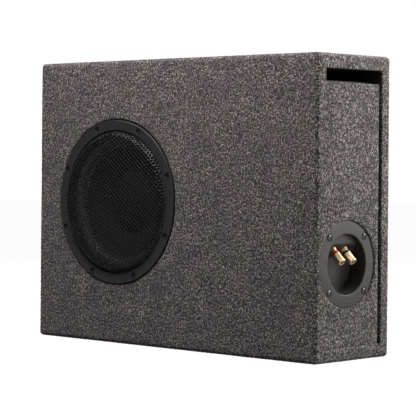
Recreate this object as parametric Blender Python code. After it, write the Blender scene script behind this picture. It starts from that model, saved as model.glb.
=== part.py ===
"""Slim vented car subwoofer: a carpeted MDF box with an 8 inch driver, a slot port and a terminal cup.

Frame: the origin is the middle of the box's underside. +X runs to the port end, -Y is the woofer's
side and +Z is up. Everything below is in millimetres until it reaches Blender, which gets metres.
"""

import math
from functools import partial

import bmesh
import bpy
from mathutils import Matrix, Vector

MM = 0.001
GAP = 0.3  # air or glue line between two pieces that touch

# Box
WIDTH, DEPTH, HEIGHT = 480.0, 138.0, 362.0
BOARD = 12.7
CARPET = 3.0
CARPET_EDGE_R = 3.5
SKIN = CARPET + GAP  # carpet's outer face to the board's outer face
WALL = SKIN + BOARD  # carpet's outer face to the board's inner face
INNER_X, INNER_Y = WIDTH / 2 - WALL, DEPTH / 2 - WALL
BACK_SEAM_Z, BACK_SEAM_STEP = 42.0, 1.2  # where the carpet's two ends meet on the back

# Slot port, along the top of the right-hand end
PORT_HEIGHT = 15.0
PORT_LENGTH = 205.0
PORT_FLOOR = HEIGHT - WALL - PORT_HEIGHT
GROOVE_WIDTH, GROOVE_DEPTH = 6.4, 9.0  # shadow groove beside the end panel

# Driver
WOOFER_X, WOOFER_Z = -93.5, 181.0
CUTOUT_R = 93.0
RING_R, RING_INNER_R = 104.5, 92.0
RING_FACE, RING_BACK = -5.2, -2.8  # depths from the baffle's wooden face, + into the box
GRILLE_RIM_R, GRILLE_SHEET = 94.2, 0.9
SCREW_CIRCLE_R, SCREW_COUNT, FIRST_SCREW_DEG = 99.0, 8, -20.5
SCREW_HOLE_R, SCREW_SHANK_R, SCREW_HEAD_R, CUP_SCREW_HEAD_R = 2.2, 1.8, 3.5, 4.0
COUNTERBORE_R, COUNTERBORE_FLOOR = 3.9, -3.5
BASKET_FRONT, BASKET_STEEL = -2.5, 1.2
LEDGE_DEPTH = 13.3  # surround's seat
SPIDER_SEAT = 46.0
BASKET_BOTTOM = 57.6
ROLL_MIDDLE_R, ROLL_R, ROLL_LIP_R = 82.0, 7.0, 89.9
CONE_NECK_R, CONE_NECK_DEPTH, CONE_RIM_R = 19.6, 38.0, 75.0
CAP_R = 40.0
POLE_R, FORMER_R, COIL_R, PLATE_HOLE_R = 17.4, 18.2, 19.0, 20.8
PLATE_TOP, MAGNET_TOP, YOKE_TOP, YOKE_BACK = 57.9, 64.2, 77.5, 83.5
LUG_SPREAD = 6.0
LEAD_R = 0.8

# Terminal cup, in the right-hand end
CUP_Y, CUP_Z, CUP_INSET = -11.4, 113.8, 0.7  # CUP_INSET: flange below the carpet's face
CUP_FLANGE_R, CUP_FLANGE = 51.5, 2.2
CUP_MOUTH_R, CUP_FLOOR_R, CUP_DEPTH, CUP_WALL = 36.1, 33.9, 23.0, 2.4
CUP_SCREW_R = 45.8
BROW_Z, BROW_DEPTH = 24.0, 6.8  # where the sloping terminal plate starts
POST_SPREAD, POST_RISE = 10.3, 17.1
POST_DEPTH = BROW_DEPTH + BROW_Z - POST_RISE  # the posts stand on the plate's 45 degree slope
POST_ROD_R, POST_BARREL_R, POST_LENGTH = 3.0, 5.2, 21.0
LUG_DROP, LUG_REACH = 7.7, 12.0  # the lug's barrel: how far behind the plate, and its length
WIRE_R = 1.3
REACH = 1.0  # how far a cutter runs past the piece it cuts

RING_STEPS, INNER_STEPS, SMALL_STEPS, HOLE_STEPS = 48, 36, 24, 12

PAINTS = {  # name: (colour, roughness, metallic)
    "carpet": ((0.10, 0.10, 0.10), 0.95, 0.0),
    "mdf": ((0.42, 0.30, 0.19), 0.8, 0.0),
    "black_plastic": ((0.03, 0.03, 0.03), 0.45, 0.0),
    "grey_plastic": ((0.09, 0.09, 0.09), 0.5, 0.0),
    "black_steel": ((0.02, 0.02, 0.02), 0.4, 0.6),
    "rubber": ((0.02, 0.02, 0.02), 0.6, 0.0),
    "paper": ((0.03, 0.03, 0.03), 0.8, 0.0),
    "cloth": ((0.55, 0.40, 0.16), 0.9, 0.0),
    "copper": ((0.72, 0.32, 0.16), 0.35, 1.0),
    "aluminium": ((0.75, 0.75, 0.76), 0.35, 1.0),
    "zinc": ((0.60, 0.61, 0.62), 0.4, 1.0),
    "ferrite": ((0.06, 0.06, 0.065), 0.6, 0.0),
    "gold": ((0.83, 0.62, 0.30), 0.25, 1.0),
    "red": ((0.65, 0.05, 0.03), 0.4, 0.0),
    "black": ((0.02, 0.02, 0.02), 0.4, 0.0),
    "foam": ((0.03, 0.03, 0.03), 0.9, 0.0),
}


# --- Shared tools ---------------------------------------------------------------------------------


def paint(name):
    """The material of this name, made once."""
    found = bpy.data.materials.get(name)
    if found:
        return found
    colour, roughness, metallic = PAINTS[name]
    made = bpy.data.materials.new(name)
    made.use_nodes = True
    shader = made.node_tree.nodes["Principled BSDF"]
    shader.inputs["Base Color"].default_value = (*colour, 1)
    shader.inputs["Roughness"].default_value = roughness
    shader.inputs["Metallic"].default_value = metallic
    return made


def add(name, mesh, material, parent=None, cutter=False):
    """An object of this mesh, hung on its parent empty. A cutter is a wire helper that isn't a part."""
    obj = bpy.data.objects.new(name, mesh)
    bpy.context.scene.collection.objects.link(obj)
    obj.parent = parent
    if cutter:
        obj.hide_render = True
        obj.display_type = "WIRE"
    else:
        if not mesh.materials:
            mesh.materials.append(paint(material))
        mesh.shade_smooth()
        mesh.set_sharp_from_angle(angle=math.radians(35))
    return obj


def empty(name, place, turn=None, parent=None):
    """A helper frame: place in millimetres, turn as a rotation matrix."""
    obj = bpy.data.objects.new(name, None)
    bpy.context.scene.collection.objects.link(obj)
    obj.parent = parent
    obj.matrix_basis = Matrix.Translation(Vector(place) * MM) @ (turn or Matrix.Identity(4))
    bpy.context.view_layer.update()
    return obj


def mesh_of(name, points, faces):
    mesh = bpy.data.meshes.new(name)
    mesh.from_pydata([Vector(p) * MM for p in points], [], faces)
    made = bmesh.new()
    made.from_mesh(mesh)
    bmesh.ops.recalc_face_normals(made, faces=made.faces)
    made.to_mesh(mesh)
    made.free()
    return mesh


def block_mesh(name, low, high):
    x, y, z = zip(low, high)
    corners = [(x[i], y[j], z[k]) for i in (0, 1) for j in (0, 1) for k in (0, 1)]
    faces = [(0, 1, 3, 2), (4, 6, 7, 5), (0, 4, 5, 1), (2, 3, 7, 6), (0, 2, 6, 4), (1, 5, 7, 3)]
    return mesh_of(name, corners, faces)


def block(name, low, high, material=None, parent=None, cutter=False):
    return add(name, block_mesh(name, low, high), material, parent, cutter)


def turned_mesh(name, profile, steps):
    """A closed (radius, height) outline turned about the local Z axis. A radius of 0 is on the axis."""
    points, rows = [], []
    for radius, height in profile:
        if radius == 0:
            rows.append([len(points)] * steps)
            points.append((0, 0, height))
            continue
        rows.append(list(range(len(points), len(points) + steps)))
        turns = [math.tau * s / steps for s in range(steps)]
        points += [(radius * math.cos(a), radius * math.sin(a), height) for a in turns]
    faces = []
    for row, following in zip(rows, rows[1:] + rows[:1]):
        for s in range(steps):
            n = (s + 1) % steps
            corners = list(dict.fromkeys((row[s], row[n], following[n], following[s])))
            if len(corners) > 2:
                faces.append(corners)
    return mesh_of(name, points, faces)


def turned(name, profile, material=None, parent=None, steps=SMALL_STEPS, cutter=False):
    return add(name, turned_mesh(name, profile, steps), material, parent, cutter)


def rod(name, radius, low, high, material=None, parent=None, steps=HOLE_STEPS, cutter=False):
    outline = [(0, low), (radius, low), (radius, high), (0, high)]
    return turned(name, outline, material, parent, steps, cutter)


def tube_outline(inner, outer, low, high):
    return [(inner, low), (outer, low), (outer, high), (inner, high)]


def placed(obj, x=0.0, y=0.0, z=0.0, turn=None):
    """Puts a part or a cutter in its parent's frame."""
    obj.matrix_basis = Matrix.Translation(Vector((x, y, z)) * MM) @ (turn or Matrix.Identity(4))
    return obj


def combine(target, tools, operation):
    """Cuts the tools out of the target, or joins them to it, and leaves the result as plain mesh."""
    bpy.context.view_layer.update()
    for tool in tools:
        change = target.modifiers.new(tool.name, "BOOLEAN")
        change.operation = operation
        change.object = tool
    bpy.context.view_layer.update()
    graph = bpy.context.evaluated_depsgraph_get()
    result = bpy.data.meshes.new_from_object(target.evaluated_get(graph))
    target.modifiers.clear()
    target.data = result
    for tool in tools:
        bpy.data.objects.remove(tool)
    result.shade_smooth()
    result.set_sharp_from_angle(angle=math.radians(35))
    return target


def around(count, first_deg=0.0):
    """Angles of count features, evenly spaced round a circle."""
    return [math.radians(first_deg + 360 * k / count) for k in range(count)]


def circle_holes(parent, radius, circle_r, count, first_deg, low, high):
    """Cutters for a circle of through holes."""
    return [
        placed(
            rod("hole", radius, low, high, parent=parent, cutter=True),
            circle_r * math.cos(a),
            circle_r * math.sin(a),
        )
        for a in around(count, first_deg)
    ]


woofer_holes = partial(
    circle_holes, circle_r=SCREW_CIRCLE_R, count=SCREW_COUNT, first_deg=FIRST_SCREW_DEG
)
cup_holes = partial(circle_holes, circle_r=CUP_SCREW_R, count=4, first_deg=45)


def rounded_block(name, low, high, radius, material):
    """A block whose twelve edges are rounded."""
    obj = block(name, low, high, material)
    made = bmesh.new()
    made.from_mesh(obj.data)
    bmesh.ops.bevel(made, geom=made.edges[:], offset=radius * MM, segments=2, affect="EDGES", profile=0.5)
    made.to_mesh(obj.data)
    made.free()
    return obj


def through_curve(points, spacing):
    """Points at this spacing along a Catmull-Rom curve through the given points."""
    p = [Vector(q) for q in points]
    p = [2 * p[0] - p[1], *p, 2 * p[-1] - p[-2]]
    fine = []
    for a, b, c, d in zip(p, p[1:], p[2:], p[3:]):
        for k in range(20):
            t = k / 20
            square, cube = 2 * a - 5 * b + 4 * c - d, 3 * b - a - 3 * c + d
            fine.append(0.5 * (2 * b + (c - a) * t + square * t**2 + cube * t**3))
    fine.append(p[-2])
    length = sum((b - a).length for a, b in zip(fine, fine[1:]))
    count = max(2, round(length / spacing))
    even, walked, goal = [fine[0]], 0.0, length / count
    for a, b in zip(fine, fine[1:]):
        step = (b - a).length
        while walked + step >= goal * len(even) and len(even) < count:
            even.append(a.lerp(b, (goal * len(even) - walked) / step))
        walked += step
    return even + [fine[-1]]


def wire(name, points, radius, material, parent=None, spacing=11.0):
    """A round flexible lead along a smooth route."""
    curve = bpy.data.curves.new(name, "CURVE")
    curve.dimensions = "3D"
    curve.bevel_depth = radius * MM
    curve.bevel_resolution = 2
    curve.use_fill_caps = True
    line = curve.splines.new("POLY")
    route = through_curve(points, spacing)
    line.points.add(len(route) - 1)
    for point, place in zip(line.points, route):
        point.co = (*(place * MM), 1)
    obj = bpy.data.objects.new(name, curve)
    bpy.context.scene.collection.objects.link(obj)
    obj.parent = parent
    curve.materials.append(paint(material))
    return obj


# --- Box ------------------------------------------------------------------------------------------


def boards(woofer, cup):
    """The seven MDF boards, with a glue line between each two."""
    end, front, low, high = WIDTH / 2 - SKIN, DEPTH / 2 - SKIN, SKIN, HEIGHT - SKIN
    inner_low, inner_high = WALL, HEIGHT - WALL
    side = INNER_Y - GAP
    baffle = block("front_baffle", (-end, -front, low), (end, -INNER_Y, high), "mdf")
    cutout = rod("cutout", CUTOUT_R, -20, 40, parent=woofer, steps=RING_STEPS, cutter=True)
    combine(baffle, [cutout, *woofer_holes(woofer, SCREW_HOLE_R, low=-20, high=40)], "DIFFERENCE")
    block("back_panel", (-end, INNER_Y, low), (end, front, high), "mdf")
    block("top_panel", (-end, -side, inner_high), (end, side, high), "mdf")
    block("bottom_panel", (-end, -side, low), (end, side, inner_low), "mdf")
    block("left_end_panel", (-end, -side, inner_low + GAP), (-INNER_X, side, inner_high - GAP), "mdf")
    block(
        "port_shelf",
        (INNER_X - PORT_LENGTH, -side, PORT_FLOOR - BOARD),
        (INNER_X - GAP, side, PORT_FLOOR),
        "mdf",
    )
    right = block(
        "right_end_panel", (INNER_X, -side, inner_low + GAP), (end, side, PORT_FLOOR - SKIN), "mdf"
    )
    groove = block(
        "groove",
        (WIDTH / 2 - GROOVE_DEPTH, INNER_Y - GROOVE_WIDTH, 0),
        (end + 1, INNER_Y + 1, HEIGHT),
        cutter=True,
    )
    hole = rod("hole", CUP_MOUTH_R + CUP_WALL + 0.6, -30, 10, parent=cup, steps=RING_STEPS, cutter=True)
    combine(right, [groove, hole, *cup_holes(cup, SCREW_HOLE_R, low=-14, high=10)], "DIFFERENCE")


def carpets(woofer, cup):
    """One sheet wraps the back, top and front and turns in over the boards' ends; one covers the
    underside, and a panel covers each end.
    """
    half_w, half_d = WIDTH / 2, DEPTH / 2
    past_w, past_d = half_w + REACH, half_d + REACH
    seam_y = half_d - BACK_SEAM_STEP
    outside = (-half_w, -half_d, 0), (half_w, half_d, HEIGHT)
    underside = rounded_block("carpet_bottom", *outside, CARPET_EDGE_R, "carpet")
    above = block("above", (-past_w, -past_d, CARPET), (past_w, past_d, HEIGHT + REACH), cutter=True)
    back_step = block("step", (-past_w, seam_y, -REACH), (past_w, past_d, CARPET + REACH), cutter=True)
    combine(underside, [above, back_step], "DIFFERENCE")

    wrap = rounded_block("carpet_wrap", *outside, CARPET_EDGE_R, "carpet")
    inner_w, inner_d = half_w - CARPET, half_d - CARPET
    tools = [
        block("under", (-past_w, -past_d, -REACH), (past_w, past_d, SKIN), cutter=True),
        block("hollow", (-inner_w, -inner_d, CARPET), (inner_w, inner_d, HEIGHT - CARPET), cutter=True),
        block("ends", (-past_w, -INNER_Y, WALL), (past_w, INNER_Y, HEIGHT - WALL), cutter=True),
        block("seam", (-past_w, seam_y, -REACH), (past_w, past_d, BACK_SEAM_Z), cutter=True),
        woofer_seat(woofer),
        cup_seat(cup),
    ]
    combine(wrap, tools, "DIFFERENCE")
    low, high = WALL + GAP, HEIGHT - WALL - GAP
    side, groove_y = INNER_Y - GAP, INNER_Y - GROOVE_WIDTH
    block("carpet_left_end", (-half_w, -side, low), (-inner_w, side, high), "carpet")
    right = block("carpet_right_end", (inner_w, -side, low), (half_w, groove_y, PORT_FLOOR), "carpet")
    lip_low = (INNER_X, -side, PORT_FLOOR - CARPET)
    lip = block("lip", lip_low, (half_w - CARPET / 2, groove_y, PORT_FLOOR), cutter=True)
    combine(right, [lip], "UNION")
    combine(right, [cup_seat(cup)], "DIFFERENCE")


def woofer_seat(woofer):
    """Cutter that clears the carpet round the trim ring."""
    return rod("seat", RING_R + 0.5, -9, 1, parent=woofer, steps=RING_STEPS, cutter=True)


def cup_seat(cup):
    """Cutter that clears the carpet round the terminal cup's flange."""
    return rod("seat", CUP_FLANGE_R + 0.4, -9, 9, parent=cup, steps=RING_STEPS, cutter=True)


# --- Driver: local +Z runs into the box from the baffle's wooden face, +X to the right -----------------


def gasket(woofer):
    ring = turned(
        "woofer_gasket",
        tube_outline(CUTOUT_R + 0.5, RING_R - 1.5, -1.0, -GAP),
        "foam",
        woofer,
        RING_STEPS,
    )
    combine(ring, woofer_holes(woofer, SCREW_HOLE_R, low=-3, high=2), "DIFFERENCE")


def basket(woofer):
    """Pressed steel basket: flange, surround's ledge, windowed cone, spider's seat and motor pan."""
    outer_wall, inner_wall, thick = CUTOUT_R - 1.2, 90.3, 1.6
    outline = [
        (RING_R - 0.8, BASKET_FRONT),
        (RING_R - 0.8, BASKET_FRONT + BASKET_STEEL),
        (outer_wall, BASKET_FRONT + BASKET_STEEL),
        (outer_wall, LEDGE_DEPTH + thick),
        (87.0, LEDGE_DEPTH + thick),
        (56.4, SPIDER_SEAT + thick - 2),
        (52.0, SPIDER_SEAT + thick),
        (44.8, SPIDER_SEAT + thick),
        (44.8, BASKET_BOTTOM),
        (PLATE_HOLE_R + 0.7, BASKET_BOTTOM),
        (PLATE_HOLE_R + 0.7, BASKET_BOTTOM - thick),
        (43.2, BASKET_BOTTOM - thick),
        (43.2, SPIDER_SEAT),
        (51.5, SPIDER_SEAT),
        (54.6, SPIDER_SEAT - 2),
        (85.8, LEDGE_DEPTH),
        (inner_wall, LEDGE_DEPTH),
        (inner_wall, BASKET_FRONT),
    ]
    frame = turned("woofer_basket", outline, "black_steel", woofer, RING_STEPS)
    windows = [
        placed(
            block("window", (48, -17, 17), (100, 17, 40.5), parent=woofer, cutter=True),
            turn=Matrix.Rotation(a, 4, "Z"),
        )
        for a in around(6)
    ]
    combine(frame, windows + woofer_holes(woofer, SCREW_HOLE_R, low=-6, high=2), "DIFFERENCE")


def surround(woofer):
    """Half-roll rubber surround between the cone's rim and the basket's ledge."""
    seat, half_thick, arc_steps, lip = LEDGE_DEPTH - 1.0, 0.6, 7, 3.5

    def skin(offset):
        """The roll's outer or inner face, from the cone's side to the basket's."""
        radius = ROLL_R + offset
        first = math.asin(offset / radius)
        turns = [first + (math.pi - 2 * first) * k / arc_steps for k in range(arc_steps + 1)]
        return [(ROLL_MIDDLE_R - radius * math.cos(a), seat - radius * math.sin(a)) for a in turns]

    outline = [
        (CONE_RIM_R - lip, seat - half_thick),
        *skin(half_thick),
        (ROLL_LIP_R, seat - half_thick),
        (ROLL_LIP_R, seat + half_thick),
        *reversed(skin(-half_thick)),
        (CONE_RIM_R - lip, seat + half_thick),
    ]
    turned("woofer_surround", outline, "rubber", woofer, INNER_STEPS)


def cone_depth(radius):
    """Depth of the cone's front face at this radius: a slightly flared cone."""
    rim_depth = LEDGE_DEPTH + 0.3
    share = (CONE_RIM_R - radius) / (CONE_RIM_R - CONE_NECK_R)
    return rim_depth + (CONE_NECK_DEPTH - rim_depth) * share**0.9


def cone(woofer):
    paper = 0.9
    radii = [CONE_RIM_R, 60.0, 46.0, 32.0, CONE_NECK_R]
    front = [(r, cone_depth(r)) for r in radii]
    back = [(r, cone_depth(r) + paper) for r in reversed(radii)]
    turned("woofer_cone", front + back, "paper", woofer, INNER_STEPS)


def dust_cap(woofer):
    paper, rise = 0.8, 9.0
    seat = cone_depth(CAP_R) - paper - 0.6

    def dome(r):
        return seat - rise * (1 - (r / CAP_R) ** 2)

    radii = [CAP_R, 30.0, 16.0, 0.0]
    outline = [(r, dome(r)) for r in radii] + [(r, dome(r) + paper) for r in reversed(radii)]
    turned("woofer_dust_cap", outline, "paper", woofer, INNER_STEPS)


def spider(woofer):
    """Corrugated cloth disc that centres the voice coil."""
    inner, outer, height, waves, cloth = 19.1, 50.5, 1.5, 3, 0.5
    lip, count = 43.5, 12
    radii = [inner + 1.5 + (lip - inner - 1.5) * k / count for k in range(count + 1)]
    seat = SPIDER_SEAT - GAP - cloth

    def ripple(r):
        return seat - height * (1 - math.cos(math.tau * waves * (r - radii[0]) / (lip - radii[0]))) / 2

    top = [(inner, seat)] + [(r, ripple(r)) for r in radii] + [(outer, seat)]
    outline = top + [(r, z + cloth) for r, z in reversed(top)]
    turned("woofer_spider", outline, "cloth", woofer, INNER_STEPS)


def motor(woofer):
    """Voice coil on its former, between a top plate, a ferrite ring and a vented yoke."""
    turned(
        "voice_coil_former",
        tube_outline(FORMER_R, FORMER_R + 0.5, CONE_NECK_DEPTH - 3, 68),
        "aluminium",
        woofer,
    )
    turned("voice_coil", tube_outline(COIL_R, COIL_R + 0.9, 55, 66), "copper", woofer)
    turned(
        "magnet_top_plate",
        tube_outline(PLATE_HOLE_R, 50, PLATE_TOP, MAGNET_TOP - GAP),
        "zinc",
        woofer,
        INNER_STEPS,
    )
    turned("magnet_ring", tube_outline(26, 52, MAGNET_TOP, YOKE_TOP - GAP), "ferrite", woofer, INNER_STEPS)
    vent = 5.0
    yoke = [
        (vent, PLATE_TOP - 1),
        (POLE_R, PLATE_TOP - 1),
        (POLE_R, YOKE_TOP),
        (50, YOKE_TOP),
        (50, YOKE_BACK - 1.5),
        (48.5, YOKE_BACK),
        (vent, YOKE_BACK),
    ]
    turned("magnet_yoke", yoke, "zinc", woofer, INNER_STEPS)


def driver_leads(woofer):
    """Terminal board on the basket's pan, and the two braided leads from it to the cone."""
    low, high = SPIDER_SEAT + 1.9, SPIDER_SEAT + 3.9
    board = block("woofer_terminal_board", (46, -11, low), (62, 11, high), "mdf", woofer)
    tabs = [
        block("tab", (60, y - 2.4, low + 0.6), (70, y + 2.4, low + 1.4), parent=woofer, cutter=True)
        for y in (-LUG_SPREAD, LUG_SPREAD)
    ]
    combine(board, tabs, "UNION")
    for side, name in ((-1, "tinsel_lead_red"), (1, "tinsel_lead_black")):
        route = [
            (60, side * 6, 46.6),
            (63, side * 6.5, 42),
            (59, side * 7, 36.5),
            (49, side * 8, 37),
            (40, side * 9, 32.3),
        ]
        wire(name, route, LEAD_R, "copper", woofer, spacing=3.0)


def trim_and_grille(woofer):
    """Plastic trim ring with counterbored screw holes, and the domed grille that it clamps."""
    rebate_r, rebate_floor, chamfer = GRILLE_RIM_R + 0.4, RING_BACK - 1.2, 0.7
    outline = [
        (RING_INNER_R, rebate_floor),
        (RING_INNER_R, RING_FACE + chamfer),
        (RING_INNER_R + chamfer, RING_FACE),
        (RING_R - chamfer, RING_FACE),
        (RING_R, RING_FACE + chamfer),
        (RING_R, RING_BACK),
        (rebate_r, RING_BACK),
        (rebate_r, rebate_floor),
    ]
    ring = turned("trim_ring", outline, "black_plastic", woofer, RING_STEPS)
    seats = woofer_holes(woofer, COUNTERBORE_R, low=RING_FACE - 3, high=COUNTERBORE_FLOOR)
    combine(ring, seats + woofer_holes(woofer, SCREW_HOLE_R, low=-9, high=0), "DIFFERENCE")
    back = RING_BACK
    front = back - GRILLE_SHEET
    sheet = [  # (radius, depth) of the outer skin: flange, sloping wall, shoulder and shallow dome
        (GRILLE_RIM_R, front),
        (91.5, front),
        (90.6, front - 0.5),
        (87.0, front - 5.7),
        (85.6, front - 7.0),
        (83.5, front - 7.5),
        (60.0, front - 8.3),
        (30.0, front - 8.9),
        (0.0, front - 9.1),
    ]
    inner = [
        (0.0, back - 9.1),
        (30.0, back - 8.9),
        (60.0, back - 8.3),
        (83.4, back - 7.5),
        (85.0, back - 7.1),
        (86.2, back - 6.1),
        (90.0, back - 0.6),
        (91.0, back),
        (GRILLE_RIM_R, back),
    ]
    turned("grille", sheet + inner, "black_steel", woofer, RING_STEPS)


def screw_mesh(name, head_r, head_height, shank_r, length):
    """Pan-head screw with a cross recess. The head's underside is at z 0 and the shank runs along +Z."""
    outline = [
        (0, -head_height),
        (head_r * 0.6, -head_height),
        (head_r, -head_height * 0.45),
        (head_r, 0),
        (shank_r, 0),
        (shank_r, length - 3),
        (0, length),
    ]
    body = turned(name + "_blank", outline, "black_steel", steps=HOLE_STEPS)
    slot, reach, depth = head_r * 0.13, head_r * 0.48, head_height * 0.65
    top = -head_height - 1
    slots = [
        block("slot", (-reach, -slot, top), (reach, slot, depth - head_height), cutter=True),
        block("slot", (-slot, -reach, top), (slot, reach, depth - head_height), cutter=True),
    ]
    mesh = combine(body, slots, "DIFFERENCE").data
    bpy.data.objects.remove(body)
    mesh.name = name
    return mesh


def screws(frame, name, mesh, circle_r, count, first_deg, depth, flip=False):
    """Copies of one screw round a circle. flip turns its shank to the frame's -Z."""
    turn = Matrix.Rotation(math.pi, 4, "X") if flip else Matrix.Identity(4)
    for number, a in enumerate(around(count, first_deg), 1):
        screw = add(f"{name}_{number}", mesh, "black_steel", frame)
        spin = Matrix.Rotation(a, 4, "Z") @ turn
        placed(screw, circle_r * math.cos(a), circle_r * math.sin(a), depth, spin)


# --- Terminal cup: local +Z points out of the box, +X down and +Y to the back --------------------------


def terminal_cup(cup):
    """Dished cup with a sloping plate for the binding posts, hollow behind the plate."""
    rim, shell_r = 1.0, CUP_MOUTH_R + CUP_WALL
    body = [
        (0, -CUP_DEPTH - CUP_WALL),
        (CUP_FLOOR_R + CUP_WALL, -CUP_DEPTH - CUP_WALL),
        (shell_r, -CUP_FLANGE),
        (CUP_FLANGE_R, -CUP_FLANGE),
        (CUP_FLANGE_R, -rim),
        (CUP_FLANGE_R - rim, 0),
        (0, 0),
    ]
    shell = turned("terminal_cup", body, "grey_plastic", cup, RING_STEPS)
    bowl = turned(
        "bowl",
        [(0, -CUP_DEPTH), (CUP_FLOOR_R, -CUP_DEPTH), (CUP_MOUTH_R, 5), (0, 5)],
        parent=cup,
        steps=RING_STEPS,
        cutter=True,
    )
    # The brow and the plate stay solid: a wedge across the bowl's upper part, cut away from the cutter.
    brow, slope = -BROW_Z, CUP_DEPTH - BROW_DEPTH + 1
    wedge_points = [
        (side_x, side_y, z)
        for side_y in (-60, 60)
        for side_x, z in (
            (-70, -BROW_DEPTH),
            (brow, -BROW_DEPTH),
            (brow + slope, -BROW_DEPTH - slope),
            (-70, -BROW_DEPTH - slope),
        )
    ]
    wedge_faces = [(0, 1, 2, 3), (7, 6, 5, 4), (0, 4, 5, 1), (1, 5, 6, 2), (2, 6, 7, 3), (3, 7, 4, 0)]
    wedge = add("wedge", mesh_of("wedge", wedge_points, wedge_faces), None, cup, cutter=True)
    combine(bowl, [wedge], "DIFFERENCE")
    # Behind the plate the cup is hollow, so that it stays about one wall thick.
    back = CUP_WALL * math.sqrt(2)
    pocket_points = [
        (side_x, side_y, z)
        for side_y in (-20, 20)
        for side_x, z in (
            (brow - 8.5, -BROW_DEPTH - back + 0.6),
            (brow - 0.6, -BROW_DEPTH - back + 0.6),
            (brow + slope + 3 - back, -BROW_DEPTH - slope - 3.6),
            (brow - 8.5, -BROW_DEPTH - slope - 3.6),
        )
    ]
    pocket = add("pocket", mesh_of("pocket", pocket_points, wedge_faces), None, cup, cutter=True)
    post_holes = []
    for side in (-1, 1):
        turn = Matrix.Rotation(math.radians(45), 4, "Y")
        hole = rod("hole", 2.4, -9, 4, parent=cup, cutter=True)
        post_holes.append(placed(hole, -POST_RISE, side * POST_SPREAD, -POST_DEPTH, turn))
    holes = cup_holes(cup, SCREW_HOLE_R, low=-6, high=3)
    combine(shell, [bowl, pocket, *post_holes, *holes], "DIFFERENCE")


def binding_post(cup, colour, side):
    """Hollow threaded post, its coloured ring and screw cap, and the nut and ring lug behind the plate."""
    turn = Matrix.Rotation(math.radians(45), 4, "Y")
    post = empty(f"{colour}_post_axis", (-POST_RISE, side * POST_SPREAD, -POST_DEPTH), turn, cup)
    jack_r, tip, tail_r = 2.05, POST_LENGTH - 1.6, 2.0
    stud = turned(
        f"{colour}_post_stud",
        [
            (0, -13),
            (tail_r, -13),
            (tail_r, GAP),
            (POST_BARREL_R - 0.4, GAP),
            (POST_BARREL_R - 0.4, 3.6),
            (POST_BARREL_R - 1.2, 4.6),
            (POST_ROD_R, 4.6),
            (POST_ROD_R, tip),
            (jack_r, tip),
            (jack_r, 9.5),
            (0, 9.5),
        ],
        "gold",
        post,
    )
    cross = rod("cross", 1.4, -10, 10, parent=post, cutter=True)
    placed(cross, z=7.2, turn=Matrix.Rotation(math.radians(90), 4, "X"))
    combine(stud, [cross], "DIFFERENCE")
    turned(
        f"{colour}_post_ring",
        tube_outline(POST_ROD_R + 0.3, POST_BARREL_R, 4.95, 7.4),
        "red" if colour == "red" else "black",
        post,
    )
    turned(
        f"{colour}_post_cap",
        [
            (POST_ROD_R + 0.15, 7.7),
            (POST_BARREL_R, 7.7),
            (POST_BARREL_R, POST_LENGTH - 1.2),
            (POST_BARREL_R - 1.2, POST_LENGTH),
            (jack_r + 0.25, POST_LENGTH),
            (jack_r + 0.25, POST_LENGTH - 1.3),
            (POST_ROD_R + 0.15, POST_LENGTH - 1.3),
        ],
        "gold",
        post,
    )
    plate = -CUP_WALL - 0.9
    nut_bore = (tail_r + 0.25) / math.cos(math.radians(30))
    turned(f"{colour}_post_nut", tube_outline(nut_bore, 4.4, plate - 3, plate), "gold", post, 6)
    lug = turned(
        f"{colour}_post_lug", tube_outline(tail_r + 0.25, 4.2, plate - 4.1, plate - 3.3), "zinc", post
    )
    barrel_low, barrel_high = -1.1 - LUG_DROP, 1.1 - LUG_DROP
    barrel = block("barrel", (3.2, -1.8, barrel_low), (LUG_REACH, 1.8, barrel_high), parent=post, cutter=True)
    combine(lug, [barrel], "UNION")


def spade(woofer, colour, side):
    """Push-on spade over one of the driver's tabs."""
    low = SPIDER_SEAT + 1.9 + 0.6
    y = side * LUG_SPREAD
    cover = block(
        f"{colour}_spade", (63.5, y - 3.4, low - 0.9), (73.5, y + 3.4, low + 1.7), "zinc", woofer
    )
    slot = block("slot", (60, y - 2.8, low - 0.35), (70.6, y + 2.8, low + 1.15), parent=woofer, cutter=True)
    combine(cover, [slot], "DIFFERENCE")


def inner_wires():
    """The two leads from the cup's lugs, down to the bottom board and up to the driver's spades."""
    slant = math.sqrt(0.5)

    def beyond_lug(distance):
        """World x and z of a point this far past the end of a lug's barrel, along it."""
        reach = LUG_REACH + distance
        x = WIDTH / 2 - CUP_INSET - POST_DEPTH - (reach + LUG_DROP) * slant
        return x, CUP_Z + POST_RISE - (reach - LUG_DROP) * slant

    (start_x, start_z), (next_x, next_z) = beyond_lug(0.5), beyond_lug(8.5)
    for name, side in (("red_wire", -1), ("black_wire", 1)):
        cup_y, floor_y = CUP_Y + side * POST_SPREAD, side * 3.5
        spade_z = WOOFER_Z - side * LUG_SPREAD
        route = [
            (start_x, cup_y, start_z),
            (next_x, cup_y, next_z),
            (186.0, cup_y * 0.8 + floor_y * 0.2, CUP_Z - 20),
            (170.0, floor_y, CUP_Z - 62),
            (140.0, floor_y, WALL + 8.0),
            (110.0, floor_y, WALL + 3.4),
            (70.0, floor_y, WALL + 3.2),
            (35.0, floor_y, WALL + 4.4),
            (10.0, floor_y, WALL + 18.0),
            (-2.0 - side * 3, floor_y - 6, WALL + 60.0),
            (-1.0 - side * 3, -13, WALL + 120.0),
            (-5.0 - side * 2, -16.0, spade_z - 8.0),
            (-12.0, -16.4, spade_z - 0.5),
            (-19.5, -16.4, spade_z),
        ]
        wire(name, route, WIRE_R, "red" if side < 0 else "black")


# --- Assembly -------------------------------------------------------------------------------------


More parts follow.
